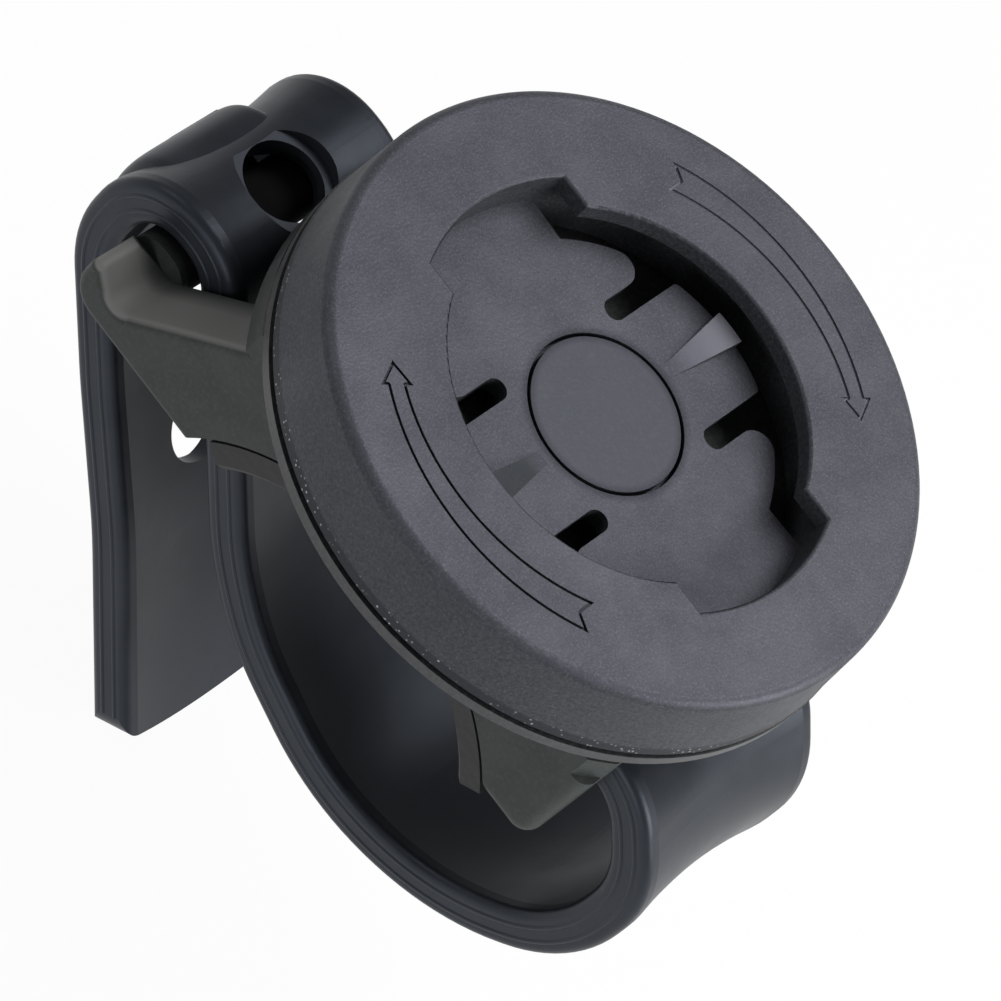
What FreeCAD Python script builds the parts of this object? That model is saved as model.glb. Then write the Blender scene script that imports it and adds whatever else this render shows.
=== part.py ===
"""Bike computer mount: a quarter-turn socket on a saddle that a silicone strap ties to a handlebar.

The origin is on the handlebar axis under the middle of the socket. X runs along the bar,
+Y points to the side where the strap hooks on, and +Z leaves the socket's face. Millimetres.
"""
import FreeCAD, Part
import math
import os

V = FreeCAD.Vector
X_AXIS = V(1, 0, 0)
Z_AXIS = V(0, 0, 1)
ORIGIN = V(0, 0, 0)
TOUCH = 1e-6

# Handlebar and rubber pad
bar_r = 15.9
pad_t = 2.5
pad_half_angle = 55.0
pad_gap = 0.2
pad_edge_chamfer = 0.6

# Saddle base
base_half_w = 15.5
deck_t = 2.3
web_over_seat = 0.9
web_drop = 9.0
saddle_web_t = 1.6
arm_drop = 11.1
arm_edge_r = 0.7
back_arm_beyond_seat = 0.7
back_arm_drop = 8.8
back_arm_corner_r = 1.5
back_arm_edge = 1.2

# Hook arm: two side plates with upturned lips and a bar between them
slot_half_w = 10.0
hook_far_x = 12.4
lip_bevel = 2.4
hook_beyond_seat = 11.0
hook_corner_r = 2.4
lip_rise = 5.0
lip_r = 0.7
valley_beyond_seat = 7.56
valley_rise = 2.0
valley_r = 1.5
hook_bar_r = 2.1
hook_bar_run = 0.8
peg_half_w = 2.75
peg_below_bar = 2.5
peg_above_bar = 0.8
peg_reach = 4.55
peg_edge_r = 0.5

# Back plate
plate_lip = 0.1
plate_t = 1.2
plate_edge_chamfer = 0.3
spigot_t = 1.0
spigot_h = 1.2
shadow_gap = 0.4

# Socket cover
face_ring_w = 6.8
cover_flare = 0.45
cover_edge_r = 0.8
cover_wall = 1.7
opening_edge_r = 0.25
cover_h = 6.7
face_t = 1.8
floor_depth = 3.4
floor_t = 1.6
skirt_clear = 0.1

# Quarter-turn socket
notch_r = 16.15
lip_reach = 2.25
notch_half_outer = 26.0
notch_half_inner = 30.6
lip_t = 1.5
channel_wall = 1.5
floor_edge_gap = 0.7
floor_step_inner = 61.0
floor_step_outer = 66.0
floor_corner_r = 1.4
tab_corner_r = 0.5

# Spring tabs in the floor
slot_y = 5.5
slot_w = 1.7
slot_inner_x = 5.6
ramp_start_x = 6.8
ramp_rise = 0.8
ramp_w_start = 1.0
ramp_w_end = 2.5

# Engraved arrows on the face
arrow_r = 18.3
arrow_depth = 0.2
arrow_line_w = 0.22
arrow_tail_a = 35.5
arrow_barb_a = -29.5
arrow_tip_a = -35.2
arrow_tail_half = 1.2
arrow_neck_half = 0.7
arrow_head_half = 1.25
arrow_swallow_a = 2.5

# Centre fixing
cap_r = 5.81
cap_t = 1.0
cap_gap = 0.28
cap_spigot_r = 4.2
cap_spigot_wall = 0.8
cap_spigot_h = 0.9
boss_r = 7.2
boss_bore_r = 4.4
boss_floor_t = 1.4
screw_r = 1.5
screw_len = 5.0
screw_clear = 0.2
screw_head_r = 2.75
screw_head_h = 1.8
screw_hex_af = 2.0
screw_hex_depth = 1.0
screw_head_edge = 0.5
washer_r = 3.5
washer_t = 0.5
nut_af = 5.5
nut_h = 1.8
nut_clear = 0.05
nut_cover_t = 1.2

# Cover screws
cover_screw_a = 26.0
cover_screw_r = 1.0
cover_screw_len = 5.0
cover_screw_head_r = 1.8
cover_screw_head_h = 1.0
screw_sink = 0.05
cover_boss_r = 2.1
pilot_clear = 0.05
recess_w = 0.5
recess_depth = 0.5

# Strap
strap_half_w = 9.5
strap_t = 3.4
strap_mid_t = 2.0
strap_bead_w = 1.3
strap_edge_r = 0.7
strap_clear = 0.15
strap_hole_r = 3.2
strap_hole_rim_r = 4.0
strap_hole_rim_depth = 0.8
# Holes by their distance along the strap from the one on top of the arch; the peg fills the second
strap_hole_places = [0.0, 8.3, 20.1, 30.8]
strap_end_bulge = 1.7
strap_end_corner = 1.8
anchor_r = 2.3
anchor_wall = 0.6
anchor_a = 135.5
strap_start_run = 2.2
ring_beyond_seat = 7.95
arch_start_beyond_seat = 5.6
arch_end_beyond_seat = 13.45
arch_over_bar = 4.4
arch_r = 5.0

# Radii, stacked from the socket's notches
core_r = notch_r - lip_reach
floor_edge_r = core_r - floor_edge_gap
cover_r = notch_r + face_ring_w
plate_r = cover_r + cover_flare + plate_lip
deck_r = plate_r
skirt_inner_r = cover_r - cover_wall
channel_outer_r = notch_r + channel_wall
cover_screw_pcd_r = (channel_outer_r + skirt_inner_r) / 2

# Heights, stacked up from the handlebar
seat_r = bar_r + pad_t
deck_bottom_z = seat_r + web_over_seat
deck_top_z = deck_bottom_z + deck_t
plate_top_z = deck_top_z + plate_t
skirt_z = plate_top_z + shadow_gap
face_z = skirt_z + cover_h
floor_z = face_z - floor_depth
floor_under_z = floor_z - floor_t
lip_under_z = face_z - lip_t
face_under_z = face_z - face_t
boss_floor_z = deck_top_z + boss_floor_t
head_z = boss_floor_z + washer_t
nut_top_z = deck_top_z - nut_cover_t
web_bottom_z = deck_bottom_z - web_drop
arm_bottom_z = deck_bottom_z - arm_drop
back_arm_bottom_z = deck_bottom_z - back_arm_drop
lip_z = arm_bottom_z + lip_rise
valley_z = arm_bottom_z + valley_rise
hook_bar_z = arm_bottom_z + hook_bar_r

# Reaches, stacked out from the seat
back_arm_y = -(seat_r + back_arm_beyond_seat)
hook_y = seat_r + hook_beyond_seat
hook_bar_y = hook_y - hook_bar_r
valley_y = seat_r + valley_beyond_seat
anchor_from_bar = seat_r + anchor_wall + anchor_r
anchor_y = anchor_from_bar * math.cos(math.radians(anchor_a))
anchor_z = anchor_from_bar * math.sin(math.radians(anchor_a))

# Strap centreline in the Y-Z plane: corners of its path, each with the radius that rounds it
ring_y = -(seat_r + ring_beyond_seat)
arch_start_y = seat_r + arch_start_beyond_seat
arch_end_y = seat_r + arch_end_beyond_seat
arch_top_z = hook_bar_z + arch_over_bar
arch_foot_z = hook_bar_z - arch_over_bar
strap_corners = [
    (back_arm_y - strap_start_run, anchor_z, 6.0),
    (ring_y, 9.1, 9.0),
    (ring_y, -0.4, 13.0),
    (-17.9, -9.2, 20.0),
    (-6.9, -11.2, 18.0),
    (3.5, -7.8, 20.0),
    (9.2, -3.5, 25.0),
    (arch_start_y, arch_top_z, arch_r),
    (arch_end_y, arch_top_z, arch_r),
    (arch_end_y, arch_foot_z, 8.0),
    (24.25, -3.45, 60.0),
    (16.05, -12.75, 60.0),
]
strap_end = (4.8, -27.65)


def disc(radius, z_low, z_high, x=0, y=0):
    return Part.makeCylinder(radius, z_high - z_low, V(x, y, z_low))


def ring(outer, inner, z_low, z_high):
    return disc(outer, z_low, z_high).cut(disc(inner, z_low, z_high))


def rod(radius, y, z, half_length):
    """A cylinder along X, centred on X = 0."""
    return Part.makeCylinder(radius, 2 * half_length, V(-half_length, y, z), X_AXIS)


def block(x_half, y_low, y_high, z_low, z_high):
    return Part.makeBox(2 * x_half, y_high - y_low, z_high - z_low, V(-x_half, y_low, z_low))


def polar(radius, degrees, z):
    a = math.radians(degrees)
    return V(radius * math.cos(a), radius * math.sin(a), z)


def polygon_prism(points, z_low, z_high):
    """A prism along Z over the points of its plan."""
    corners = [V(p.x, p.y, z_low) for p in points]
    face = Part.Face(Part.makePolygon(corners + corners[:1]))
    return face.extrude(V(0, 0, z_high - z_low))


def hexagon(across_flats, z_low, z_high):
    radius = across_flats / math.sqrt(3)
    return polygon_prism([polar(radius, 60 * i, 0) for i in range(6)], z_low, z_high)


def corner_arc(before, corner, after, radius):
    """The start, middle and end of the arc that rounds a corner."""
    to_before = (before - corner).normalize()
    to_after = (after - corner).normalize()
    half = to_before.getAngle(to_after) / 2
    start = corner + to_before * (radius / math.tan(half))
    end = corner + to_after * (radius / math.tan(half))
    bisector = (to_before + to_after).normalize()
    middle = corner + bisector * (radius / math.sin(half) - radius)
    return start, middle, end


def rounded_edges(corners, closed=False):
    """Lines and tangent arcs through corners given as (point, radius)."""
    count = len(corners)
    stops = []
    for i, (point, radius) in enumerate(corners):
        at_end = not closed and i in (0, count - 1)
        if radius == 0 or at_end:
            stops.append((point, None, point))
        else:
            before = corners[i - 1][0]
            after = corners[(i + 1) % count][0]
            stops.append(corner_arc(before, point, after, radius))
    edges = []
    for i, (start, middle, end) in enumerate(stops):
        if middle is not None:
            edges.append(Part.Arc(start, middle, end).toShape())
        last = i == count - 1
        next_start = stops[0][0] if last else stops[i + 1][0]
        if (closed or not last) and end.distanceToPoint(next_start) > TOUCH:
            edges.append(Part.LineSegment(end, next_start).toShape())
    return edges


def side_prism(outline, x_low, x_high):
    """A prism along X over a closed outline of (y, z, corner radius)."""
    corners = [(V(x_low, y, z), radius) for y, z, radius in outline]
    face = Part.Face(Part.Wire(rounded_edges(corners, closed=True)))
    return face.extrude(V(x_high - x_low, 0, 0))


def export(name, shape):
    shape = shape.removeSplitter()
    shape.exportStep("parts/" + name + ".step")
    solids = len(shape.Solids)
    print(name, "valid", shape.isValid(), "solids", solids, "volume", round(shape.Volume, 2))


# Base: the deck under the socket, the saddle and its two arms


def soften(shape, x, y_limit, size):
    """Round the edges of a prism's end face at X that lie on the outer side of y_limit."""
    picked = []
    for edge in shape.Edges:
        middle = edge.CenterOfMass
        outside = middle.y < y_limit if y_limit < 0 else middle.y > y_limit
        on_end = abs(edge.BoundBox.XMin - x) < TOUCH and abs(edge.BoundBox.XMax - x) < TOUCH
        below_deck = edge.BoundBox.ZMin < deck_bottom_z - TOUCH
        if outside and on_end and below_deck:
            picked.append(edge)
    return shape.makeFillet(size, picked)


def back_arm():
    """The arm that the strap's fixed end comes out of."""
    outline = [
        (0, deck_bottom_z, 0),
        (back_arm_y, deck_bottom_z, 0),
        (back_arm_y, back_arm_bottom_z, back_arm_corner_r),
        (0, back_arm_bottom_z, 0),
    ]
    arm = side_prism(outline, -base_half_w, base_half_w)
    for x in (-base_half_w, base_half_w):
        arm = soften(arm, x, -1.0, back_arm_edge)
    return arm


def lip_bevel_wedge(side):
    """What is bevelled off a lip where the strap folds over between the lips."""
    x = side * slot_half_w
    low_z = lip_z - lip_bevel
    corners = [
        V(x, valley_y, low_z),
        V(x + side * lip_bevel, valley_y, lip_z),
        V(x, valley_y, lip_z),
        V(x, valley_y, low_z),
    ]
    wedge = Part.Face(Part.makePolygon(corners))
    return wedge.extrude(V(0, hook_y - valley_y, 0))


def hook_plate(side):
    """One side plate of the hook arm, with its upturned lip."""
    top_y = math.sqrt(deck_r ** 2 - base_half_w ** 2)
    outline = [
        (0, deck_bottom_z, 0),
        (0, arm_bottom_z, 0),
        (hook_y, arm_bottom_z, hook_corner_r),
        (hook_y, lip_z, lip_r),
        (valley_y, valley_z, valley_r),
        (top_y, deck_bottom_z, 0),
    ]
    outer_x = hook_far_x if side > 0 else base_half_w
    low, high = sorted((side * slot_half_w, side * outer_x))
    plate = side_prism(outline, low, high)
    plate = soften(plate, side * outer_x, 1.0, arm_edge_r)
    return plate.cut(lip_bevel_wedge(side))


def hook_bar():
    """The round-edged bar between the plates that the strap folds over."""
    back_y = hook_bar_y - hook_bar_run
    front = rod(hook_bar_r, hook_bar_y, hook_bar_z, slot_half_w)
    back = rod(hook_bar_r, back_y, hook_bar_z, slot_half_w)
    low = hook_bar_z - hook_bar_r
    middle = block(slot_half_w, back_y, hook_bar_y, low, low + 2 * hook_bar_r)
    return front.fuse([back, middle])


def hook_peg():
    """The flat peg that a hole of the strap slips over."""
    low = hook_bar_z - peg_below_bar
    peg = block(peg_half_w, hook_bar_y, hook_y + peg_reach, low, hook_bar_z + peg_above_bar)
    away_from_bar = [e for e in peg.Edges if e.BoundBox.YMax > hook_bar_y + TOUCH]
    along = [e for e in away_from_bar if e.BoundBox.YMin < hook_bar_y + TOUCH]
    return peg.makeFillet(peg_edge_r, along)


def saddle_web():
    outer = seat_r + saddle_web_t
    web = rod(outer, 0, 0, base_half_w)
    return web.common(block(base_half_w, 0, outer, web_bottom_z, deck_top_z))


def strap_pocket():
    """Room for the strap's anchor, open at the deck, and the slot where the strap leaves."""
    half_w = strap_half_w + strap_clear
    half_t = strap_t / 2 + strap_clear
    radius = anchor_r + strap_clear
    seat = rod(radius, anchor_y, anchor_z, half_w)
    way_in = block(half_w, anchor_y - radius, anchor_y + radius, anchor_z, deck_top_z)
    way_out = block(half_w, back_arm_y, anchor_y, anchor_z - half_t, anchor_z + half_t)
    return seat.fuse([way_in, way_out])


def base_body():
    deck = disc(deck_r, deck_bottom_z, deck_top_z)
    deck = deck.common(block(base_half_w, back_arm_y, deck_r, deck_bottom_z, deck_top_z))
    pieces = [back_arm(), saddle_web(), hook_plate(-1), hook_plate(1), hook_bar(), hook_peg()]
    body = deck.fuse(pieces)
    body = body.cut(rod(seat_r, 0, 0, base_half_w))
    below_arms = block(base_half_w, back_arm_y, seat_r, 0, arm_bottom_z)
    body = body.cut(below_arms)
    body = body.cut(strap_pocket())
    body = body.cut(hexagon(nut_af + 2 * nut_clear, 0, nut_top_z))
    return body.cut(disc(screw_r + screw_clear, 0, deck_top_z))


def saddle_pad():
    """The rubber pad, glued in the seat."""
    outer = seat_r - pad_gap
    c = pad_edge_chamfer
    section = [
        V(-base_half_w, 0, outer),
        V(base_half_w, 0, outer),
        V(base_half_w, 0, bar_r + c),
        V(base_half_w - c, 0, bar_r),
        V(c - base_half_w, 0, bar_r),
        V(-base_half_w, 0, bar_r + c),
    ]
    face = Part.Face(Part.makePolygon(section + section[:1]))
    face.rotate(ORIGIN, X_AXIS, -pad_half_angle)
    return face.revolve(ORIGIN, X_AXIS, 2 * pad_half_angle)


# Back plate, which closes the cover from below


def cover_screw_places():
    """Two screws on each side, beyond the deck's edge so that their heads stay in reach."""
    a = cover_screw_a
    return [polar(cover_screw_pcd_r, turn, 0) for turn in (a, 180 - a, 180 + a, 360 - a)]


def back_plate():
    edge = plate_edge_chamfer
    rim = Part.makeCone(plate_r - edge, plate_r, edge, V(0, 0, deck_top_z))
    plate = rim.fuse(disc(plate_r, deck_top_z + edge, plate_top_z))
    spigot_r = skirt_inner_r - skirt_clear
    spigot = ring(spigot_r, spigot_r - spigot_t, plate_top_z, plate_top_z + spigot_h)
    plate = plate.fuse(spigot)
    plate = plate.cut(disc(boss_r + skirt_clear, deck_top_z, plate_top_z))
    for p in cover_screw_places():
        plate = plate.cut(disc(cover_boss_r + skirt_clear, plate_top_z, plate_top_z + spigot_h, p.x, p.y))
        plate = plate.cut(disc(cover_screw_r + screw_clear, deck_top_z, plate_top_z, p.x, p.y))
        sink = screw_sink + cover_screw_head_h
        top_r = cover_screw_r
        bottom_r = cover_screw_head_r + screw_sink
        plate = plate.cut(Part.makeCone(bottom_r, top_r, sink, V(p.x, p.y, deck_top_z)))
    return plate


# Socket cover: face ring, skirt, sprung floor and centre boss, moulded in one


def cover_puck():
    """The cover's outside: a flared skirt with a rounded edge to the face."""
    outline = [
        (V(0, 0, skirt_z), 0),
        (V(cover_r + cover_flare, 0, skirt_z), 0),
        (V(cover_r, 0, face_z), cover_edge_r),
        (V(0, 0, face_z), 0),
    ]
    face = Part.Face(Part.Wire(rounded_edges(outline, closed=True)))
    return face.revolve(ORIGIN, Z_AXIS, 360)


def notch_prism(side, z_low, z_high):
    """The plan of one notch in the lips, centred on +Y or -Y, with slanted steps."""
    middle = 90 * side
    points = [
        V(0, 0, 0),
        polar(core_r, middle - notch_half_inner, 0),
        polar(notch_r, middle - notch_half_outer, 0),
        polar(2 * notch_r, middle, 0),
        polar(notch_r, middle + notch_half_outer, 0),
        polar(core_r, middle + notch_half_inner, 0),
    ]
    return polygon_prism(points, z_low, z_high).common(disc(notch_r, z_low, z_high))


def socket_opening():
    """The opening between the lips, with its two notches."""
    opening = disc(core_r, lip_under_z, face_z)
    return opening.fuse([notch_prism(side, lip_under_z, face_z) for side in (1, -1)])


def ease_opening(cover):
    """Round the edge where the face drops into the opening."""
    picked = []
    for edge in cover.Edges:
        box = edge.BoundBox
        on_face = box.ZMin > face_z - TOUCH and box.ZMax < face_z + TOUCH
        if on_face and max(box.XMax, box.YMax) < notch_r + TOUCH and box.DiagonalLength > TOUCH:
            picked.append(edge)
    return cover.makeFillet(opening_edge_r, picked)


def floor_gap(side):
    """The opening in the floor under one lip, which forms the lip's underside."""
    inner = floor_step_inner
    outer = floor_step_outer
    turn = 0 if side > 0 else 180
    points = [
        V(0, 0, 0),
        polar(floor_edge_r, turn - inner, 0),
        polar(notch_r, turn - outer, 0),
        polar(3 * notch_r, turn - inner / 2, 0),
        polar(3 * notch_r, turn + inner / 2, 0),
        polar(notch_r, turn + outer, 0),
        polar(floor_edge_r, turn + inner, 0),
    ]
    gap = polygon_prism(points, floor_under_z, floor_z)
    return gap.common(ring(notch_r, floor_edge_r, floor_under_z, floor_z))


def flex_slot(x_side, y_side):
    """One of the four slots that free the spring tabs."""
    half = slot_w / 2
    start = slot_inner_x + half
    y = y_side * slot_y
    end = disc(half, floor_under_z, floor_z, x_side * start, y)
    x_low = start if x_side > 0 else -floor_edge_r
    x_size = floor_edge_r - start
    run = Part.makeBox(x_size, slot_w, floor_t, V(x_low, y - half, floor_under_z))
    return end.fuse(run)


def floor_plate():
    """The sprung floor: a disc with its gaps and slots, and rounded corners where they meet."""
    plate = disc(channel_outer_r, floor_under_z, floor_z)
    for side in (1, -1):
        plate = plate.cut(floor_gap(side))
        plate = plate.cut(flex_slot(side, 1))
        plate = plate.cut(flex_slot(side, -1))
    at_floor = []
    at_tab = []
    for edge in plate.Edges:
        middle = edge.CenterOfMass
        upright = edge.BoundBox.ZLength > floor_t - TOUCH
        if not upright or abs(math.hypot(middle.x, middle.y) - floor_edge_r) > TOUCH:
            continue
        if abs(abs(middle.y) - slot_y - slot_w / 2) < TOUCH:
            at_floor.append(edge)
        elif abs(abs(middle.y) - slot_y + slot_w / 2) < TOUCH:
            at_tab.append(edge)
    plate = plate.makeFillet(floor_corner_r, at_floor)
    at_tab = [e for e in plate.Edges if any(e.CenterOfMass.isEqual(t.CenterOfMass, TOUCH) for t in at_tab)]
    return plate.makeFillet(tab_corner_r, at_tab)


def tab_ramp(side):
    """A wedge on a spring tab, rising to its free end."""
    run = floor_edge_r - ramp_start_x
    side_face = Part.Face(Part.makePolygon([
        V(ramp_start_x, -ramp_w_end, floor_z),
        V(floor_edge_r, -ramp_w_end, floor_z),
        V(floor_edge_r, -ramp_w_end, floor_z + ramp_rise),
        V(ramp_start_x, -ramp_w_end, floor_z),
    ]))
    wedge = side_face.extrude(V(0, 2 * ramp_w_end, 0))
    a = ramp_w_start / 2
    b = ramp_w_end / 2
    plan = [
        V(ramp_start_x, -a, 0),
        V(ramp_start_x + run, -b, 0),
        V(ramp_start_x + run, b, 0),
        V(ramp_start_x, a, 0),
    ]
    wedge = wedge.common(polygon_prism(plan, floor_z, floor_z + ramp_rise))
    wedge = wedge.common(disc(floor_edge_r, floor_z, floor_z + ramp_rise))
    if side < 0:
        wedge.rotate(ORIGIN, Z_AXIS, 180)
    return wedge


def arrow_groove(side):
    """The engraved outline of an arrow that curves round the face."""
    z = face_z - arrow_depth

    def at(offset, degrees):
        return polar(arrow_r + offset, degrees, z)

    middle_a = (arrow_tail_a + arrow_barb_a) / 2
    middle_half = (arrow_tail_half + arrow_neck_half) / 2
    notch = at(0, arrow_tail_a - arrow_swallow_a)
    tip = at(0, arrow_tip_a)

    def side_points(sign):
        """The tail, middle, neck and barb along one side."""
        return [
            at(sign * arrow_tail_half, arrow_tail_a),
            at(sign * middle_half, middle_a),
            at(sign * arrow_neck_half, arrow_barb_a),
            at(sign * arrow_head_half, arrow_barb_a),
        ]

    tail_1, middle_1, neck_1, barb_1 = side_points(1)
    tail_2, middle_2, neck_2, barb_2 = side_points(-1)
    wire = Part.Wire([
        Part.LineSegment(notch, tail_1).toShape(),
        Part.Arc(tail_1, middle_1, neck_1).toShape(),
        Part.LineSegment(neck_1, barb_1).toShape(),
        Part.LineSegment(barb_1, tip).toShape(),
        Part.LineSegment(tip, barb_2).toShape(),
        Part.LineSegment(barb_2, neck_2).toShape(),
        Part.Arc(neck_2, middle_2, tail_2).toShape(),
        Part.LineSegment(tail_2, notch).toShape(),
    ])
    face = Part.Face(wire)
    inside = face.makeOffset2D(-arrow_line_w)
    groove = face.cut(inside).extrude(V(0, 0, arrow_depth))
    if side < 0:
        groove.rotate(ORIGIN, Z_AXIS, 180)
    return groove


def centre_bore():
    """The cap's recess, the room for the screw's head and the screw's hole."""
    recess = disc(cap_r + cap_gap, floor_z - cap_t, floor_z)
    room = disc(boss_bore_r, boss_floor_z, floor_z - cap_t)
    hole = disc(screw_r + screw_clear, deck_top_z, boss_floor_z)
    return recess.fuse([room, hole])


def socket_cover():
    cover = cover_puck()
    cover = cover.cut(ring(skirt_inner_r, channel_outer_r, skirt_z, face_under_z))
    cover = cover.cut(disc(notch_r, skirt_z, lip_under_z))
    cover = ease_opening(cover.cut(socket_opening()))
    additions = [floor_plate(), disc(boss_r, deck_top_z, floor_under_z)]
    for p in cover_screw_places():
        additions.append(disc(cover_boss_r, plate_top_z, face_under_z, p.x, p.y))
    for side in (1, -1):
        additions.append(tab_ramp(side))
    cover = cover.fuse(additions)
    for side in (1, -1):
        cover = cover.cut(arrow_groove(side))
    for p in cover_screw_places():
        pilot_top = deck_top_z + cover_screw_len + screw_sink + screw_clear
        cover = cover.cut(disc(cover_screw_r + pilot_clear, plate_top_z, pilot_top, p.x, p.y))
    return cover.cut(centre_bore())


# Centre fixing


def centre_cap():
    """The flush cap that hides the centre screw."""
    under = floor_z - cap_t
    cap = disc(cap_r, under, floor_z)
    skirt = ring(cap_spigot_r, cap_spigot_r - cap_spigot_wall, under - cap_spigot_h, under)
    return cap.fuse(skirt)


def centre_screw():
    head = disc(screw_head_r, head_z, head_z + screw_head_h)
    head = head.makeFillet(screw_head_edge, [head.Edges[0]])
    shank = disc(screw_r, head_z - screw_len, head_z)
    top = head_z + screw_head_h
    return head.fuse(shank).cut(hexagon(screw_hex_af, top - screw_hex_depth, top))


def screw_washer():
    return ring(washer_r, screw_r + screw_clear, boss_floor_z, head_z)


def captive_nut():
    low = nut_top_z - nut_h
    nut = hexagon(nut_af, low, nut_top_z)
    corner_r = nut_af / math.sqrt(3)
    cone_h = corner_r - nut_af / 2
    bevel = disc(corner_r, low + cone_h, nut_top_z)
    bevel = bevel.fuse(Part.makeCone(nut_af / 2, corner_r, cone_h, V(0, 0, low)))
    return nut.common(bevel).cut(disc(screw_r + nut_clear, low, nut_top_z))


def cover_screws():
    """The small countersunk screws that hold the back plate to the cover."""
    low = deck_top_z + screw_sink
    screws = []
    for p in cover_screw_places():
        base = V(p.x, p.y, low)
        head = Part.makeCone(cover_screw_head_r, cover_screw_r, cover_screw_head_h, base)
        shank = disc(cover_screw_r, low + cover_screw_head_h, low + cover_screw_len, p.x, p.y)
        slot = Part.makeBox(2 * cover_screw_head_r, recess_w, recess_depth)
        slot.translate(V(p.x - cover_screw_head_r, p.y - recess_w / 2, low))
        screws.append(head.fuse(shank).cut(slot))
    return Part.makeCompound(screws)


# Strap


def strap_section(point, direction):
    """The strap's cross-section, square to the path: thick beads and a thinner middle."""
    normal = V(0, direction.z, -direction.y)
    half_t = strap_t / 2
    half_m = strap_mid_t / 2
    bead_x = strap_half_w - strap_bead_w
    edge = strap_edge_r
    corners = []
    for sx, sn in ((1, 1), (1, -1), (-1, -1), (-1, 1)):
        corners.append((point + X_AXIS * (sx * strap_half_w) + normal * (sn * half_t), edge))
    outer = rounded_edges(corners, closed=True)
    section = Part.Face(Part.Wire(outer))
    for sn in (1, -1):
        crest = half_t * sn
        ends = [point + X_AXIS * (sx * bead_x) + normal * crest for sx in (-1, 1)]
        middle = point + normal * (half_m * sn)
        dish = Part.Arc(ends[0], middle, ends[1]).toShape()
        lid = Part.LineSegment(ends[1], ends[0]).toShape()
        section = section.cut(Part.Face(Part.Wire([dish, lid])))
    return section.Faces[0]


def strap_path():
    start = (V(0, anchor_y, anchor_z), 0)
    corners = [(V(0, y, z), radius) for y, z, radius in strap_corners]
    end = (V(0, strap_end[0], strap_end[1]), 0)
    return rounded_edges([start] + corners + [end])


def edge_tangent(edge, at_end=False):
    """The path's direction at the start of an edge, or at its end."""
    parameter = edge.LastParameter if at_end else edge.FirstParameter
    return edge.tangentAt(parameter)


def strap_run(edge):
    """One stretch of the strap, along a line or round an arc."""
    start = edge.valueAt(edge.FirstParameter)
    direction = edge_tangent(edge)
    section = strap_section(start, direction)
    curve = edge.Curve
    if curve.TypeId == "Part::GeomLine":
        return section.extrude(direction * edge.Length)
    turn = math.degrees(edge.Length / curve.Radius)
    after = edge_tangent(edge, at_end=True)
    sign = 1 if direction.cross(after).x > 0 else -1
    return section.revolve(curve.Center, V(sign, 0, 0), turn)


def point_on_path(edges, distance):
    """The point and direction at a distance along the path."""
    for edge in edges:
        if distance <= edge.Length:
            parameter = edge.getParameterByLength(distance)
            return edge.valueAt(parameter), edge.tangentAt(parameter)
        distance -= edge.Length
    return None


def arch_top_distance(edges):
    """The distance along the path to the middle of its run over the hook bar."""
    distance = 0
    for edge in edges:
        tangent = edge_tangent(edge)
        if tangent.y > 0.9999 and edge.BoundBox.ZMin > hook_bar_z:
            return distance + edge.Length / 2
        distance += edge.Length
    return distance


def strap_hole(point, direction):
    """A through hole with a wider rim on the side that faces away from the hook bar."""
    outward = V(0, -direction.z, direction.y)
    reach = strap_t
    hole = Part.makeCylinder(strap_hole_r, 2 * reach, point - outward * reach, outward)
    rim_start = point + outward * (strap_mid_t / 2 - strap_hole_rim_depth)
    rim = Part.makeCylinder(strap_hole_rim_r, reach, rim_start, outward)
    return hole.fuse(rim)


def tail_outline(edge):
    """A prism over the plan of the strap's last straight stretch, with its rounded end."""
    direction = edge_tangent(edge)
    normal = V(0, direction.z, -direction.y)
    low = edge.valueAt(edge.FirstParameter) - normal * strap_t
    length = edge.Length
    shoulder = length - strap_end_bulge

    def place(x, along):
        return low + X_AXIS * x + direction * along

    w = strap_half_w
    sides = [
        Part.LineSegment(place(-w, shoulder), place(-w, 0)).toShape(),
        Part.LineSegment(place(-w, 0), place(w, 0)).toShape(),
        Part.LineSegment(place(w, 0), place(w, shoulder)).toShape(),
        Part.Arc(place(w, shoulder), place(0, length), place(-w, shoulder)).toShape(),
    ]
    prism = Part.Face(Part.Wire(sides)).extrude(normal * (2 * strap_t))
    corners = []
    for upright in prism.Edges:
        middle = upright.CenterOfMass - low
        at_shoulder = abs(middle.dot(direction) - shoulder) < TOUCH
        if at_shoulder and abs(abs(middle.x) - w) < TOUCH:
            corners.append(upright)
    return prism.makeFillet(strap_end_corner, corners)


def strap():
    edges = strap_path()
    runs = [strap_run(edge) for edge in edges]
    runs[-1] = runs[-1].common(tail_outline(edges[-1]))
    anchor = rod(anchor_r, anchor_y, anchor_z, strap_half_w)
    body = anchor.fuse(runs)
    top = arch_top_distance(edges)
    for place in strap_hole_places:
        point, direction = point_on_path(edges, top + place)
        body = body.cut(strap_hole(point, direction))
    return body


def main():
    os.makedirs("parts", exist_ok=True)
    export("base_body", base_body())
    export("saddle_pad", saddle_pad())
    export("captive_nut", captive_nut())
    export("back_plate", back_plate())
    export("socket_cover", socket_cover())
    export("cover_screws", cover_screws())
    export("screw_washer", screw_washer())
    export("centre_screw", centre_screw())
    export("centre_cap", centre_cap())
    export("strap", strap())


main()
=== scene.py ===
import bpy
import math
from mathutils import Matrix, Vector


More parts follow.
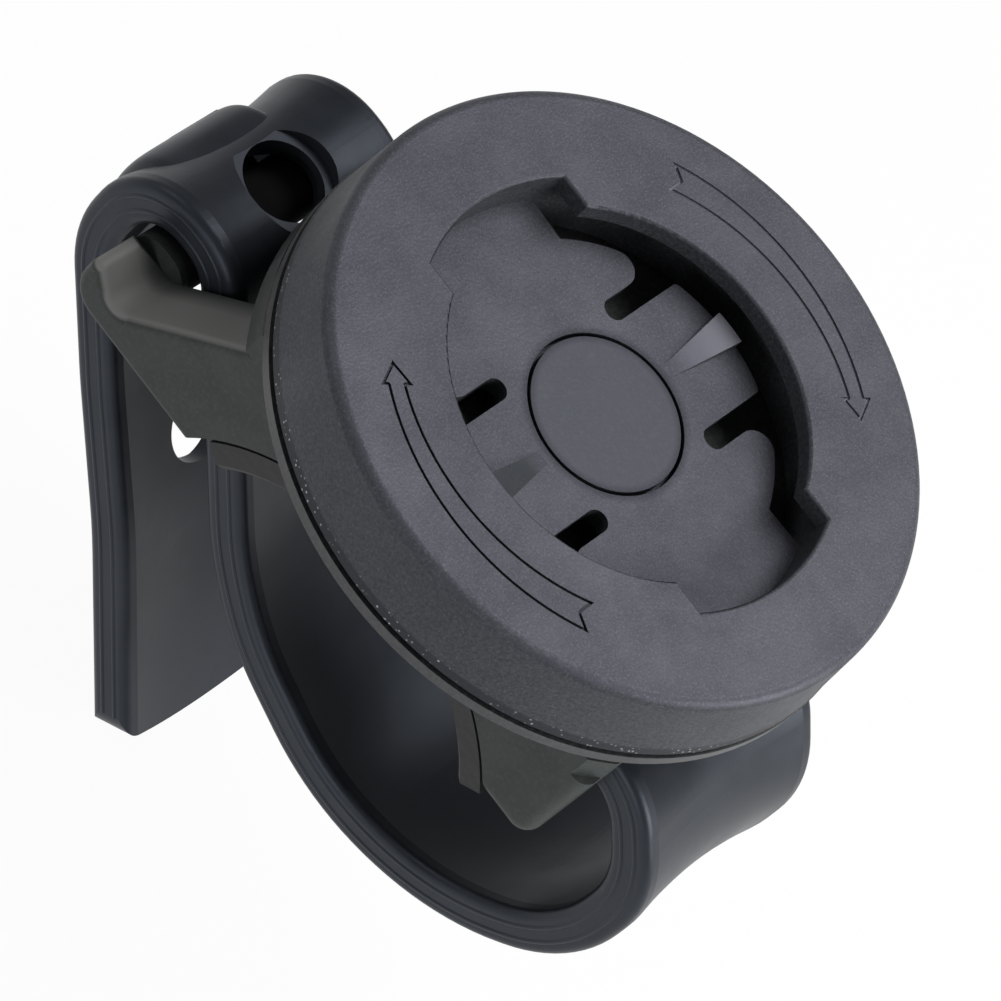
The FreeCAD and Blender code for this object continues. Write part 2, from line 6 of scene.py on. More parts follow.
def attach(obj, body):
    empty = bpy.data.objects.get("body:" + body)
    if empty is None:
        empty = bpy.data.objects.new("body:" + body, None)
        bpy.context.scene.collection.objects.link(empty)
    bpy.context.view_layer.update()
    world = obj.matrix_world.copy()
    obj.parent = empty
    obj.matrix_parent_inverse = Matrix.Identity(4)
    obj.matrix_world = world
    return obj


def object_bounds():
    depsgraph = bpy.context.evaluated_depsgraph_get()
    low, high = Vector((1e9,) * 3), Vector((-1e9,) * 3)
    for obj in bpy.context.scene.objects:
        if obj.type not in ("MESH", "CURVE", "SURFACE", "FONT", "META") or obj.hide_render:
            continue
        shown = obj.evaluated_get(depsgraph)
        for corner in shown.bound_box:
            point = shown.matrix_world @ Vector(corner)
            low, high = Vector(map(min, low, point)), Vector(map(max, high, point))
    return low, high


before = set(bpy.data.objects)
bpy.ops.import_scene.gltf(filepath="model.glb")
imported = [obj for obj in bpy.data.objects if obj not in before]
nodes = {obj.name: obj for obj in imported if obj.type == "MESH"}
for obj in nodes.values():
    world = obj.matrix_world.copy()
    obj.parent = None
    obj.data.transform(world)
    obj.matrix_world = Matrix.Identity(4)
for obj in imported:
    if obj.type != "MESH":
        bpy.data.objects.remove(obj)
cad_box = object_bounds()

MM = 0.001


def rgb(r, g, b):
    return (r, g, b, 1.0)


WHITE = rgb(1.0, 1.0, 1.0)


def add_object(name, data):
    item = bpy.data.objects.new(name, data)
    bpy.context.scene.collection.objects.link(item)
    return item


# Camera, from the fit of the photograph: its up and back axes, its place and its field of view

CAMERA_UP = Vector((0.4327, 0.7914, 0.4317))
CAMERA_BACK = Vector((-0.6506, -0.0574, 0.7573))
CAMERA_PLACE = Vector((-286.67, -24.96, 346.18)) * MM
CAMERA_FOV = 8.894
CAMERA_NEAR = 0.01


def add_camera():
    data = bpy.data.cameras.new("camera")
    data.sensor_fit = "HORIZONTAL"
    data.angle = math.radians(CAMERA_FOV)
    data.clip_start = CAMERA_NEAR
    camera = add_object("camera", data)
    back = CAMERA_BACK.normalized()
    right = CAMERA_UP.cross(back).normalized()
    up = back.cross(right)
    turn = Matrix((right, up, back)).transposed().to_4x4()
    camera.matrix_world = Matrix.Translation(CAMERA_PLACE) @ turn
    bpy.context.scene.camera = camera


# Materials. Noise sizes, bump depths and places are in mm, places in the frame's own axes.


class Nodes:
    """A material's nodes, with the few kinds that the materials here use."""

    def __init__(self, name):
        self.material = bpy.data.materials.new(name)
        self.material.use_nodes = True
        self.tree = self.material.node_tree
        self.tree.nodes.clear()
        output = self.tree.nodes.new("ShaderNodeOutputMaterial")
        self.shader = self.tree.nodes.new("ShaderNodeBsdfPrincipled")
        self.link(self.shader.outputs[0], output.inputs["Surface"])
        self.place = self.tree.nodes.new("ShaderNodeTexCoord").outputs["Object"]

    def link(self, output, socket):
        self.tree.links.new(output, socket)

    def feed(self, socket, value):
        if isinstance(value, bpy.types.NodeSocket):
            self.link(value, socket)
        else:
            socket.default_value = value

    def math(self, operation, a, b=0.0):
        node = self.tree.nodes.new("ShaderNodeMath")
        node.operation = operation
        self.feed(node.inputs[0], a)
        self.feed(node.inputs[1], b)
        return node.outputs[0]

    def product(self, first, *others):
        for other in others:
            first = self.math("MULTIPLY", first, other)
        return first

    def distance(self, a, b):
        """Length of the plane vector (a, b)."""
        return self.math("SQRT", self.math("ADD", self.product(a, a), self.product(b, b)))

    def split(self, vector=None):
        """The parts of a vector, or of the place on the object."""
        node = self.tree.nodes.new("ShaderNodeSeparateXYZ")
        self.link(self.place if vector is None else vector, node.inputs[0])
        return node.outputs[0], node.outputs[1], node.outputs[2]

    def normal_z(self):
        geometry = self.tree.nodes.new("ShaderNodeNewGeometry")
        return self.split(geometry.outputs["Normal"])[2]

    def noise(self, size, detail=3.0, roughness=0.55):
        node = self.tree.nodes.new("ShaderNodeTexNoise")
        node.inputs["Scale"].default_value = 1.0 / (size * MM)
        node.inputs["Detail"].default_value = detail
        node.inputs["Roughness"].default_value = roughness
        self.link(self.place, node.inputs["Vector"])
        return node.outputs["Fac"]

    def cells(self, size):
        node = self.tree.nodes.new("ShaderNodeTexVoronoi")
        node.inputs["Scale"].default_value = 1.0 / (size * MM)
        self.link(self.place, node.inputs["Vector"])
        return node.outputs["Distance"]

    def span(self, value, low, high, out_low=0.0, out_high=1.0):
        """Carries low..high to out_low..out_high, without going outside."""
        node = self.tree.nodes.new("ShaderNodeMapRange")
        node.clamp = True
        self.link(value, node.inputs["Value"])
        node.inputs["From Min"].default_value = low
        node.inputs["From Max"].default_value = high
        node.inputs["To Min"].default_value = out_low
        node.inputs["To Max"].default_value = out_high
        return node.outputs[0]

    def rise(self, place, low, high):
        """0 below low mm, 1 above high mm."""
        return self.span(place, low * MM, high * MM)

    def fall(self, place, low, high, most=1.0):
        """The given most below low mm, 0 above high mm."""
        return self.span(place, low * MM, high * MM, most, 0.0)

    def inside(self, place, low, high, soft):
        """1 between low and high mm, falling off over soft mm on each side."""
        return self.product(
            self.rise(place, low - soft, low + soft),
            self.fall(place, high - soft, high + soft),
        )

    def mix(self, factor, a, b):
        node = self.tree.nodes.new("ShaderNodeMix")
        node.data_type = "RGBA"
        self.feed(node.inputs["Factor"], factor)
        self.feed(node.inputs["A"], a)
        self.feed(node.inputs["B"], b)
        return node.outputs["Result"]

    def bump(self, height, depth, before=None):
        node = self.tree.nodes.new("ShaderNodeBump")
        node.inputs["Strength"].default_value = 1.0
        node.inputs["Distance"].default_value = depth * MM
        self.link(height, node.inputs["Height"])
        if before is not None:
            self.link(before, node.inputs["Normal"])
        return node.outputs["Normal"]

    def shade(self, colour, roughness, normal, specular=None, tint=None):
        """Feeds the shader, with specular and tint on its own sockets."""
        inputs = self.shader.inputs
        self.link(colour, inputs["Base Color"])
        self.link(roughness, inputs["Roughness"])
        self.link(normal, inputs["Normal"])
        if specular is not None:
            inputs["Specular IOR Level"].default_value = specular
        if tint is not None:
            inputs["Specular Tint"].default_value = tint
        return self.material


# Cover: its face, skirt, seam, ramps and lines
FACE_DARK = rgb(0.052, 0.052, 0.063)
FACE_PALE = rgb(0.068, 0.068, 0.082)
FACE_FLECK = rgb(0.100, 0.100, 0.118)
FACE_SPECK = rgb(0.130, 0.130, 0.148)
SKIRT_DARK = rgb(0.024, 0.026, 0.029)
SKIRT_PALE = rgb(0.058, 0.060, 0.066)
SKIRT_SPECK = rgb(0.130, 0.134, 0.142)
# Painted shade for the seam over the back plate, and painted glints along it
SEAM_PAINTED_SHADE = rgb(0.006, 0.006, 0.007)
SEAM_PAINTED_GLINT = rgb(0.40, 0.40, 0.42)
# Painted light on the ramps: painted shade on the near one; on the far one, painted shade at its
# foot rising to a painted highlight at its top
NEAR_RAMP_PAINTED_SHADE = rgb(0.034, 0.038, 0.041)
FAR_RAMP_FOOT_PAINTED_SHADE = rgb(0.020, 0.020, 0.024)
FAR_RAMP_TOP_PAINTED_HIGHLIGHT = rgb(0.150, 0.150, 0.170)
# Painted shade in the near arrow's groove, and painted light that lifts the shade in the far one
NEAR_ARROW_PAINTED_SHADE = rgb(0.016, 0.016, 0.019)
FAR_ARROW_PAINTED_LIGHT = rgb(0.220, 0.220, 0.255)
# Painted shade along the near side of the opening's edge
OPENING_EDGE_PAINTED_SHADE = rgb(0.004, 0.004, 0.005)
# Painted shade in the groove round the cap, on the cover and on the cap's edge
CAP_GROOVE_PAINTED_SHADE = rgb(0.004, 0.004, 0.006)

# Cap and back plate
CAP_DARK = rgb(0.048, 0.050, 0.060)
CAP_PALE = rgb(0.064, 0.064, 0.077)
CAP_FLECK = rgb(0.110, 0.110, 0.128)
PLATE_DARK = rgb(0.020, 0.021, 0.023)
PLATE_PALE = rgb(0.052, 0.053, 0.058)

# Base
BASE_DARK = rgb(0.022, 0.027, 0.026)
BASE_PALE = rgb(0.036, 0.043, 0.041)
BASE_FLECK = rgb(0.085, 0.096, 0.093)
# Painted highlight on the near hook plate's lip
LIP_PAINTED_HIGHLIGHT = rgb(0.205, 0.203, 0.200)
PEG_END = rgb(0.024, 0.027, 0.033)

# Painted shade for what lies inside the strap's fold
FOLD_PAINTED_SHADE = rgb(0.002, 0.002, 0.003)

# Strap, pad and steel
STRAP_DARK = rgb(0.0120, 0.0140, 0.0180)
STRAP_PALE = rgb(0.0220, 0.0245, 0.0300)
STRAP_DUST = rgb(0.075, 0.080, 0.090)
PAD_DARK = rgb(0.012, 0.012, 0.012)
PAD_PALE = rgb(0.022, 0.022, 0.022)
STEEL_DARK = rgb(0.50, 0.50, 0.52)
STEEL_PALE = rgb(0.62, 0.62, 0.63)


CHARCOAL_SPECULAR = 0.38
CHARCOAL_TINT = rgb(0.80, 0.83, 1.0)

# Where each mask of the cover lies: heights z, radii from the socket's axis, places along x and y
FACE_UPWARD = (0.35, 0.90)
RAMP_FROM_Z, RAMP_TO_Z = (26.55, 26.70), (27.40, 27.50)
RAMP_RADIUS, RAMP_Y = (13.3, 13.5), (1.5, 1.7)
RAMP_SHINE_RADIUS = (8.5, 12.8)
ARROW_Z, ARROW_Z_SOFT = (29.60, 29.78), 0.02
ARROW_RADIUS, ARROW_RADIUS_SOFT = (16.7, 20.0), 0.05
SIDE_X = (-1.0, 1.0)
SEAM_Z, SEAM_Z_SOFT, SEAM_RADIUS = (21.6, 24.0), 0.12, (22.0, 22.2)
OPENING_Z, OPENING_Z_SOFT = (29.60, 29.86), 0.02
OPENING_RADIUS, OPENING_X = (16.3, 16.5), (-4.0, 2.0)
CAP_RING_RADIUS, CAP_RING_Z = (6.1, 6.7), (25.0, 25.5)


def cover_ramps(n, y, z, radius):
    """1 on the two ramps."""
    return n.product(
        n.rise(z, *RAMP_FROM_Z),
        n.fall(z, *RAMP_TO_Z),
        n.fall(radius, *RAMP_RADIUS),
        n.fall(n.math("ABSOLUTE", y), *RAMP_Y),
    )


def cover_plain_colour(n, clouds, upward):
    """The speckled face, and the darker skirt where the surface doesn't look up."""
    fine = n.noise(0.45, 4.0, 0.7)
    speckle = n.noise(0.17, 2.0, 0.6)
    face = n.mix(n.span(clouds, 0.36, 0.64), FACE_DARK, FACE_PALE)
    face = n.mix(n.span(fine, 0.45, 0.75, 0.0, 0.40), face, FACE_FLECK)
    face = n.mix(n.span(speckle, 0.50, 0.70, 0.0, 0.65), face, FACE_SPECK)
    coarse = n.noise(0.26, 4.0, 0.7)
    skirt = n.mix(n.span(coarse, 0.40, 0.70), SKIRT_DARK, SKIRT_PALE)
    skirt = n.mix(n.span(speckle, 0.58, 0.74, 0.0, 0.5), skirt, SKIRT_SPECK)
    return n.mix(upward, skirt, face)


def cover_seam(n, colour, z, radius, clouds):
    """Painted shade along the seam over the back plate, with painted glints as pale specks along
    it.
    """
    seam_shade_mask = n.product(n.inside(z, *SEAM_Z, SEAM_Z_SOFT), n.rise(radius, *SEAM_RADIUS))
    glint_specks = n.product(
        seam_shade_mask, n.span(n.cells(0.40), 0.14, 0.26, 1.0, 0.0), n.span(clouds, 0.42, 0.54)
    )
    colour = n.mix(n.product(seam_shade_mask, 0.85), colour, SEAM_PAINTED_SHADE)
    return n.mix(glint_specks, colour, SEAM_PAINTED_GLINT)


def cover_material():
    """Charcoal plastic: a satin face with faint clouds, a grainy skirt, smoother ramps, and
    painted shade and highlights.
    """
    n = Nodes("cover_plastic")
    x, y, z = n.split()
    radius = n.distance(x, y)
    clouds = n.noise(7.5, 5.0, 0.62)
    upward = n.span(n.normal_z(), *FACE_UPWARD)
    ramps = cover_ramps(n, y, z, radius)

    colour = cover_plain_colour(n, clouds, upward)
    far_side = n.rise(x, *SIDE_X)
    # Painted shade on the near ramp; on the far ramp, a painted highlight that grows towards its
    # outer end
    far_ramp_painted_highlight = n.mix(n.rise(radius, *RAMP_SHINE_RADIUS), FAR_RAMP_FOOT_PAINTED_SHADE, FAR_RAMP_TOP_PAINTED_HIGHLIGHT)
    colour = n.mix(ramps, colour, n.mix(far_side, NEAR_RAMP_PAINTED_SHADE, far_ramp_painted_highlight))
    colour = cover_seam(n, colour, z, radius, clouds)
    arrows = n.product(
        n.inside(z, *ARROW_Z, ARROW_Z_SOFT), n.inside(radius, *ARROW_RADIUS, ARROW_RADIUS_SOFT)
    )
    # The arrow lines: painted shade in the near groove, painted light lifting the shade of the far
    # groove
    line = n.mix(far_side, NEAR_ARROW_PAINTED_SHADE, FAR_ARROW_PAINTED_LIGHT)
    colour = n.mix(arrows, colour, line)
    # Painted shade along the opening's edge, on the near side only
    opening_edge_painted_shade = n.product(
        n.inside(z, *OPENING_Z, OPENING_Z_SOFT),
        n.fall(radius, *OPENING_RADIUS),
        n.fall(x, *OPENING_X, most=0.9),
    )
    colour = n.mix(opening_edge_painted_shade, colour, OPENING_EDGE_PAINTED_SHADE)
    # Painted shade round the cap's groove
    cap_ring_painted_shade = n.product(n.fall(radius, *CAP_RING_RADIUS), n.rise(z, *CAP_RING_Z), 0.75)
    colour = n.mix(cap_ring_painted_shade, colour, CAP_GROOVE_PAINTED_SHADE)

    satin = n.span(clouds, 0.36, 0.64, 0.52, 0.40)
    duller_skirt = n.span(upward, 0.0, 1.0, 0.08, 0.0)
    roughness = n.math("ADD", satin, duller_skirt)
    roughness = n.math("SUBTRACT", roughness, n.product(ramps, 0.14))
    grain = n.product(n.noise(0.22, 3.0, 0.6), n.math("SUBTRACT", 1.0, n.product(ramps, 0.85)))
    normal = n.bump(n.noise(1.6, 2.0, 0.5), 0.010, n.bump(grain, 0.030))
    return n.shade(colour, roughness, normal, CHARCOAL_SPECULAR, CHARCOAL_TINT)


CAP_EDGE_RADIUS = (5.25, 5.80)


def cap_material():
    """The cap's slightly smoother charcoal plastic, with painted shade towards its edge."""
    n = Nodes("cap_plastic")
    x, y, _ = n.split()
    clouds = n.noise(3.0, 3.0, 0.6)
    fine = n.noise(0.4, 3.0, 0.7)
    colour = n.mix(n.span(clouds, 0.35, 0.65), CAP_DARK, CAP_PALE)
    colour = n.mix(n.span(fine, 0.5, 0.8, 0.0, 0.4), colour, CAP_FLECK)
    # Painted shade towards the cap's edge, by its groove
    edge_painted_shade = n.product(n.rise(n.distance(x, y), *CAP_EDGE_RADIUS), 0.75)
    colour = n.mix(edge_painted_shade, colour, CAP_GROOVE_PAINTED_SHADE)
    roughness = n.span(clouds, 0.3, 0.7, 0.40, 0.47)
    normal = n.bump(n.noise(0.25, 3.0, 0.6), 0.012)
    return n.shade(colour, roughness, normal, CHARCOAL_SPECULAR, CHARCOAL_TINT)


def plate_material():
    """The back plate's black plastic."""
    n = Nodes("plate_plastic")
    fine = n.noise(0.35, 3.0, 0.7)
    colour = n.mix(n.span(fine, 0.4, 0.7), PLATE_DARK, PLATE_PALE)
    roughness = n.span(fine, 0.3, 0.7, 0.36, 0.48)
    return n.shade(colour, roughness, n.bump(n.noise(0.3, 2.0, 0.5), 0.010))


BASE_SPECULAR = 0.30
# Painted highlight on the near hook plate's upward faces, and painted shade on what lies in the
# strap's fold
LIP_Y, LIP_X, LIP_UPWARD = (15.5, 17.0), (-12.0, -10.0), (0.35, 0.60)
FOLDED_Y, FOLDED_X, FOLDED_X_SOFT = (20.0, 22.5), (-9.5, 9.5), 0.3
PEG_END_Y = (30.0, 31.0)


def base_material():
    """The base's matte, faintly green grey glass-filled plastic, with a painted highlight on the
    near lip and painted shade in the strap's fold.
    """
    n = Nodes("base_plastic")
    x, y, _ = n.split()
    clouds = n.noise(4.0, 4.0, 0.6)
    fine = n.noise(0.35, 4.0, 0.7)
    colour = n.mix(n.span(clouds, 0.35, 0.65), BASE_DARK, BASE_PALE)
    colour = n.mix(n.span(fine, 0.5, 0.8, 0.0, 0.4), colour, BASE_FLECK)
    # Painted highlight on the upward faces of the near hook plate's lip
    lip_painted_highlight = n.product(n.rise(y, *LIP_Y), n.fall(x, *LIP_X), n.span(n.normal_z(), *LIP_UPWARD))
    colour = n.mix(lip_painted_highlight, colour, LIP_PAINTED_HIGHLIGHT)
    # Painted shade on the hook bar and peg inside the strap's fold
    folded_painted_shade = n.product(n.rise(y, *FOLDED_Y), n.inside(x, *FOLDED_X, FOLDED_X_SOFT))
    colour = n.mix(folded_painted_shade, colour, FOLD_PAINTED_SHADE)
    # The peg's end, past the fold, gets a plain dark tone in place of the painted shade
    peg_end = n.product(folded_painted_shade, n.rise(y, *PEG_END_Y))
    colour = n.mix(peg_end, colour, PEG_END)
    roughness = n.math("MAXIMUM", n.span(clouds, 0.3, 0.7, 0.50, 0.60), folded_painted_shade)
    normal = n.bump(n.noise(0.25, 3.0, 0.6), 0.015)
    return n.shade(colour, roughness, normal, BASE_SPECULAR)


STRAP_SPECULAR = 0.34
STRAP_TINT = rgb(0.75, 0.84, 1.0)
# Painted shade on the strap's inner side in its fold
INNER_Y, INNER_Z, INNER_RADIUS = 26.85, 9.70, (4.4, 4.7)
INNER_X, INNER_X_SOFT = (-8.9, 8.9), 0.3


def strap_material():
    """Black silicone with a soft blue-grey bloom and a little dust, with painted shade inside its
    fold.
    """
    n = Nodes("strap_silicone")
    x, y, z = n.split()
    clouds = n.noise(6.0, 4.0, 0.6)
    dust = n.span(n.cells(0.9), 0.02, 0.06, 0.30, 0.0)
    colour = n.mix(n.span(clouds, 0.35, 0.70), STRAP_DARK, STRAP_PALE)
    colour = n.mix(dust, colour, STRAP_DUST)
    from_y = n.math("SUBTRACT", y, INNER_Y * MM)
    from_z = n.math("SUBTRACT", z, INNER_Z * MM)
    from_middle = n.distance(from_y, from_z)
    # Painted shade on the strap's inner side inside its fold
    hidden_painted_shade = n.product(n.fall(from_middle, *INNER_RADIUS), n.inside(x, *INNER_X, INNER_X_SOFT))
    colour = n.mix(hidden_painted_shade, colour, FOLD_PAINTED_SHADE)
    roughness = n.math("MAXIMUM", n.span(clouds, 0.3, 0.7, 0.34, 0.44), hidden_painted_shade)
    normal = n.bump(n.noise(0.5, 3.0, 0.6), 0.006, n.bump(n.noise(3.0, 2.0, 0.5), 0.015))
    return n.shade(colour, roughness, normal, STRAP_SPECULAR, STRAP_TINT)


def pad_material():
    """Grippy black rubber with a fine pebble."""
    n = Nodes("pad_rubber")
    clouds = n.noise(4.0, 3.0, 0.6)
    colour = n.mix(n.span(clouds, 0.35, 0.65), PAD_DARK, PAD_PALE)
    return n.shade(colour, n.span(clouds, 0.3, 0.7, 0.62, 0.75), n.bump(n.cells(0.7), 0.05))


def steel_material():
    """Bright zinc-plated steel with a faint turned grain."""
    n = Nodes("steel")
    clouds = n.noise(1.2, 3.0, 0.6)
    fine = n.noise(0.12, 2.0, 0.6)
    colour = n.mix(n.span(clouds, 0.35, 0.65), STEEL_DARK, STEEL_PALE)
    n.shader.inputs["Metallic"].default_value = 1.0
    return n.shade(colour, n.span(fine, 0.3, 0.7, 0.25, 0.38), n.bump(fine, 0.003))


def dress():
    steel = steel_material()
    finishes = {
        "socket_cover": cover_material(),
        "centre_cap": cap_material(),
        "back_plate": plate_material(),
        "base_body": base_material(),
        "saddle_pad": pad_material(),
        "strap": strap_material(),
        "centre_screw": steel,
        "screw_washer": steel,
        "captive_nut": steel,
        "cover_screws": steel,
    }
    for name, material in finishes.items():
        mesh = nodes[name].data
        mesh.materials.clear()
        mesh.materials.append(material)


def add_to_strap(name, points, faces):
    """A smooth piece in the strap's own material, from points in mm."""
    mesh = bpy.data.meshes.new(name)
    mesh.from_pydata([[number * MM for number in point] for point in points], [], faces)
    for face in mesh.polygons:
        face.use_smooth = True
    mesh.materials.append(nodes["strap"].data.materials[0])
    return add_object(name, mesh)


# Thickened silicone round the hole that the peg goes through. Each row lies on one of two arcs
# round an axis along X, at an angle in degrees and standing so far proud of the strap. Each column
# has its x and its share of that height.

PAD_ARCS = {"fold": (26.65, 9.70, 6.0), "foot": (23.65, 8.71, 9.0)}
UNDER = -0.25
PAD_ROWS = (
    ("fold", 55.0, UNDER),
    ("fold", 45.0, 0.25),
    ("fold", 33.0, 1.00),
    ("fold", 21.0, 1.42),
    ("fold", 9.0, 1.50),
    ("foot", 0.0, 1.48),
    ("foot", -7.0, 1.34),
    ("foot", -14.0, 1.00),
    ("foot", -21.0, 0.62),
    ("foot", -28.0, 0.18),
    ("foot", -35.0, UNDER),
)
PAD_COLUMNS = (
    (-7.3, 0.0),
    (-6.9, 0.45),
    (-6.4, 0.92),
    (-5.4, 1.0),
    (-2.8, 1.0),
    (-0.2, 1.0),
    (2.4, 1.0),
    (3.3, 0.92),
    (3.8, 0.45),
    (4.3, 0.0),
)
PAD_SMOOTHING = 3


def add_peg_pad():
    points = []
    for arc, degrees, proud in PAD_ROWS:
        y, z, radius = PAD_ARCS[arc]
        turn = math.radians(degrees)
        for x, share in PAD_COLUMNS:
            reach = radius + UNDER + (proud - UNDER) * share
            points.append((x, y + reach * math.cos(turn), z + reach * math.sin(turn)))
    wide = len(PAD_COLUMNS)
    faces = [
        (row * wide + i, (row + 1) * wide + i, (row + 1) * wide + i + 1, row * wide + i + 1)
        for row in range(len(PAD_ROWS) - 1)
        for i in range(wide - 1)
    ]
    pad = add_to_strap("peg_pad", points, faces)
    smooth = pad.modifiers.new("smooth", "SUBSURF")
    smooth.levels = PAD_SMOOTHING
    smooth.render_levels = PAD_SMOOTHING
    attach(pad, "root")


# Two fine ridges along each edge of the strap. The strap's middle line lies in the Y-Z plane: each
# corner has its y, its z and the radius of its arc.

STRAP_START = (-15.19, 14.93)
STRAP_END = (4.80, -27.65)
STRAP_CORNERS = (
    (-21.30, 14.93, 6.0),
    (-26.35, 9.10, 9.0),
    (-26.35, -0.40, 13.0),
    (-17.90, -9.20, 20.0),
    (-6.90, -11.20, 18.0),
    (3.50, -7.80, 20.0),
    (9.20, -3.50, 25.0),
    (24.00, 14.70, 5.0),
    (31.85, 14.70, 5.0),
    (31.85, 5.90, 8.0),
    (24.25, -3.45, 60.0),
    (16.05, -12.75, 60.0),
)
ARC_STEPS = 14
STRAP_EDGE_X = 9.5
RIDGE_BEFORE_FIRST_ARC = 2.0
RIDGE_SHORT_OF_END = 3.0
RIDGE_OFFSETS = (-0.55, 0.55)
RIDGE_R = 0.24
RIDGE_SUNK = 0.15
RIDGE_SIDES = 6


def turned(vector, angle):
    cos, sin = math.cos(angle), math.sin(angle)
    return Vector((vector.x * cos - vector.y * sin, vector.x * sin + vector.y * cos))


def strap_line():
    """Points of the strap's middle line, with the direction at each."""
    line = []
    turns = [(Vector((y, z)), radius) for y, z, radius in STRAP_CORNERS]
    ends = [corner for corner, radius in turns[1:]] + [Vector(STRAP_END)]
    before = Vector(STRAP_START)
    for (corner, radius), after in zip(turns, ends):
        inward = (corner - before).normalized()
        outward = (after - corner).normalized()
        bend = math.atan2(inward.x * outward.y - inward.y * outward.x, inward.dot(outward))
        start = corner - inward * (radius * math.tan(abs(bend) / 2))
        centre = start + Vector((-inward.y, inward.x)) * math.copysign(radius, bend)
        for step in range(ARC_STEPS + 1):
            angle = bend * step / ARC_STEPS
            line.append((centre + turned(start - centre, angle), turned(inward, angle)))
        before = corner
    line.append((Vector(STRAP_END) - outward * RIDGE_SHORT_OF_END, outward))
    place, heading = line[0]
    return [(place - heading * RIDGE_BEFORE_FIRST_ARC, heading)] + line


def add_edge_ridges():
    line = strap_line()
    angles = [math.pi * i / RIDGE_SIDES for i in range(RIDGE_SIDES + 1)]
    wide = len(angles)
    points = []
    faces = []
    for side in (-1, 1):
        for offset in RIDGE_OFFSETS:
            first = len(points)
            for place, heading in line:
                across = Vector((heading.y, -heading.x))
                for angle in angles:
                    spot = place + across * (offset + RIDGE_R * math.cos(angle))
                    x = side * (STRAP_EDGE_X - RIDGE_SUNK + RIDGE_R * math.sin(angle))
                    points.append((x, spot.x, spot.y))
            for row in range(len(line) - 1):
                for i in range(wide - 1):
                    a = first + row * wide + i
                    corners = (a, a + 1, a + wide + 1, a + wide)
                    faces.append(corners if side < 0 else corners[::-1])
    ridges = add_to_strap("strap_edge_ridges", points, faces)
    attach(ridges, "root")


# Floor, world and lamps

FLOOR_HALF_SIZE = 3.0
FLOOR_COLOUR = rgb(0.86, 0.86, 0.86)
FLOOR_WHITE_SHARE = 0.95
WORLD_LIGHT = 0.15
WORLD_IN_REFLECTIONS = 0.32
WORLD_TO_CAMERA = 1.0
LAMPS_LOOK_AT = Vector((0.0, 0.004, 0.008))
# Direction from the object, distance in m, side in m, power in W
LAMPS = {
    "key": ((0.48, -0.10, 0.87), 0.60, 0.32, 1.8),
    "side": ((0.22, -0.95, 0.45), 0.28, 0.16, 0.62),
    "front": ((-0.90, -0.20, 0.08), 0.60, 0.35, 1.25),
    "back": ((-0.35, 0.85, 0.60), 0.60, 0.25, 0.35),
}


def white_to_camera(tree, shader, share):
    """Mixes plain white into what the camera and reflections see, so that shadows stay faint."""
    path = tree.nodes.new("ShaderNodeLightPath")
    reflected = tree.nodes.new("ShaderNodeMath")
    reflected.operation = "MAXIMUM"
    tree.links.new(path.outputs["Is Glossy Ray"], reflected.inputs[0])
    tree.links.new(path.outputs["Is Transmission Ray"], reflected.inputs[1])
    seen = tree.nodes.new("ShaderNodeMath")
    seen.operation = "MAXIMUM"
    tree.links.new(path.outputs["Is Camera Ray"], seen.inputs[0])
    tree.links.new(reflected.outputs[0], seen.inputs[1])
    scaled = tree.nodes.new("ShaderNodeMath")
    scaled.operation = "MULTIPLY"
    scaled.inputs[1].default_value = share
    tree.links.new(seen.outputs[0], scaled.inputs[0])
    white = tree.nodes.new("ShaderNodeEmission")
    white.inputs["Color"].default_value = WHITE
    white.inputs["Strength"].default_value = 1.0
    both = tree.nodes.new("ShaderNodeMixShader")
    tree.links.new(scaled.outputs[0], both.inputs[0])
    tree.links.new(shader, both.inputs[1])
    tree.links.new(white.outputs[0], both.inputs[2])
    return both.outputs[0]


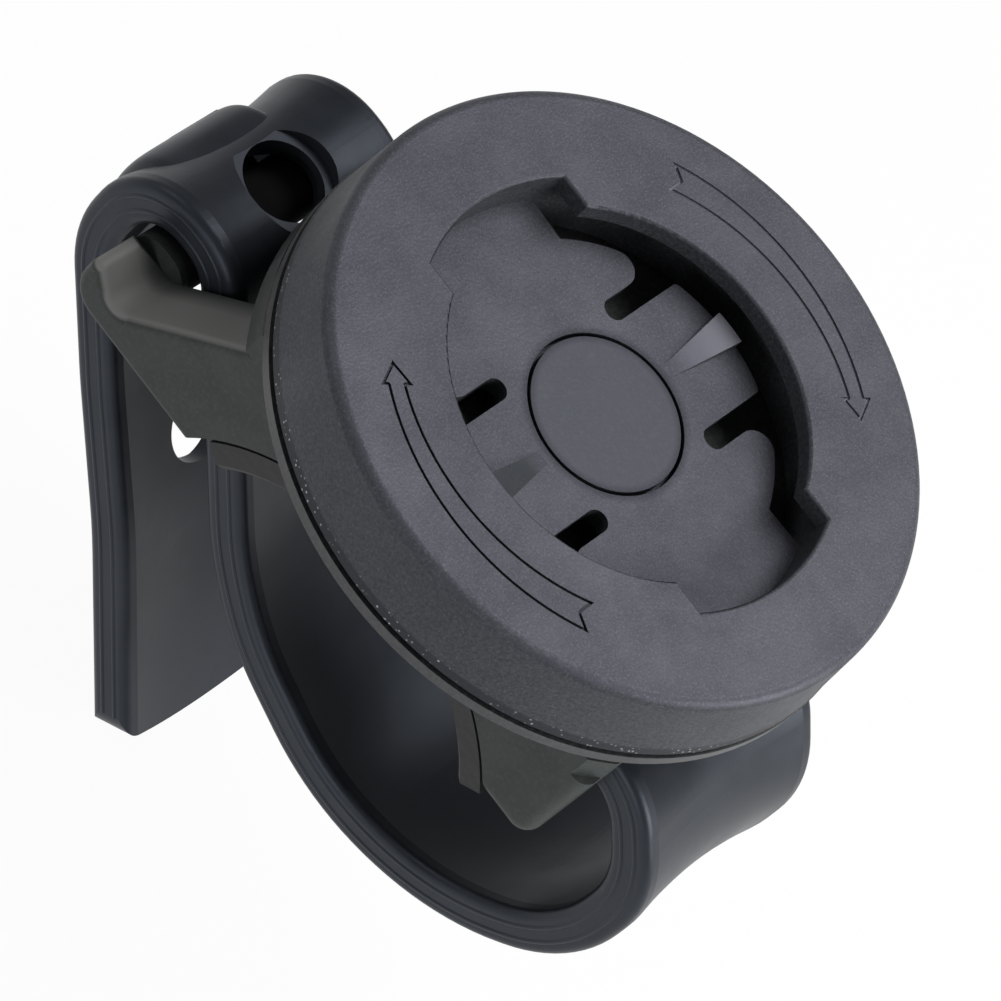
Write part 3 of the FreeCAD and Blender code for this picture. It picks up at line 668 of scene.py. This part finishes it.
def add_floor():
    low = cad_box[0][2]
    half = FLOOR_HALF_SIZE
    mesh = bpy.data.meshes.new("floor")
    corners = [(-half, -half, low), (half, -half, low), (half, half, low), (-half, half, low)]
    mesh.from_pydata(corners, [], [(0, 1, 2, 3)])
    floor = add_object("floor", mesh)
    material = bpy.data.materials.new("floor")
    material.use_nodes = True
    tree = material.node_tree
    tree.nodes.clear()
    output = tree.nodes.new("ShaderNodeOutputMaterial")
    matte = tree.nodes.new("ShaderNodeBsdfDiffuse")
    matte.inputs["Color"].default_value = FLOOR_COLOUR
    seen = white_to_camera(tree, matte.outputs[0], FLOOR_WHITE_SHARE)
    tree.links.new(seen, output.inputs["Surface"])
    mesh.materials.append(material)


def set_world():
    """White to the camera, a pale grey in reflections and a dimmer one as light."""
    world = bpy.data.worlds.new("studio")
    bpy.context.scene.world = world
    world.use_nodes = True
    tree = world.node_tree
    tree.nodes.clear()
    output = tree.nodes.new("ShaderNodeOutputWorld")
    path = tree.nodes.new("ShaderNodeLightPath")
    strength = tree.nodes.new("ShaderNodeMapRange")
    tree.links.new(path.outputs["Is Glossy Ray"], strength.inputs["Value"])
    strength.inputs["To Min"].default_value = WORLD_LIGHT
    strength.inputs["To Max"].default_value = WORLD_IN_REFLECTIONS
    soft = tree.nodes.new("ShaderNodeBackground")
    soft.inputs["Color"].default_value = WHITE
    tree.links.new(strength.outputs[0], soft.inputs["Strength"])
    plain = tree.nodes.new("ShaderNodeBackground")
    plain.inputs["Color"].default_value = WHITE
    plain.inputs["Strength"].default_value = WORLD_TO_CAMERA
    both = tree.nodes.new("ShaderNodeMixShader")
    tree.links.new(path.outputs["Is Camera Ray"], both.inputs[0])
    tree.links.new(soft.outputs[0], both.inputs[1])
    tree.links.new(plain.outputs[0], both.inputs[2])
    tree.links.new(both.outputs[0], output.inputs["Surface"])


def add_lamps():
    """Square area lamps that look at the middle of the object."""
    for name, (direction, distance, size, watts) in LAMPS.items():
        data = bpy.data.lights.new(name, "AREA")
        data.shape = "SQUARE"
        data.size = size
        data.energy = watts
        away = Vector(direction).normalized()
        turn = away.to_track_quat("Z", "Y").to_matrix().to_4x4()
        lamp = add_object(name, data)
        lamp.matrix_world = Matrix.Translation(LAMPS_LOOK_AT + away * distance) @ turn


add_camera()
dress()
add_peg_pad()
add_edge_ridges()
add_floor()
set_world()
add_lamps()
bpy.context.scene.view_settings.view_transform = "Standard"
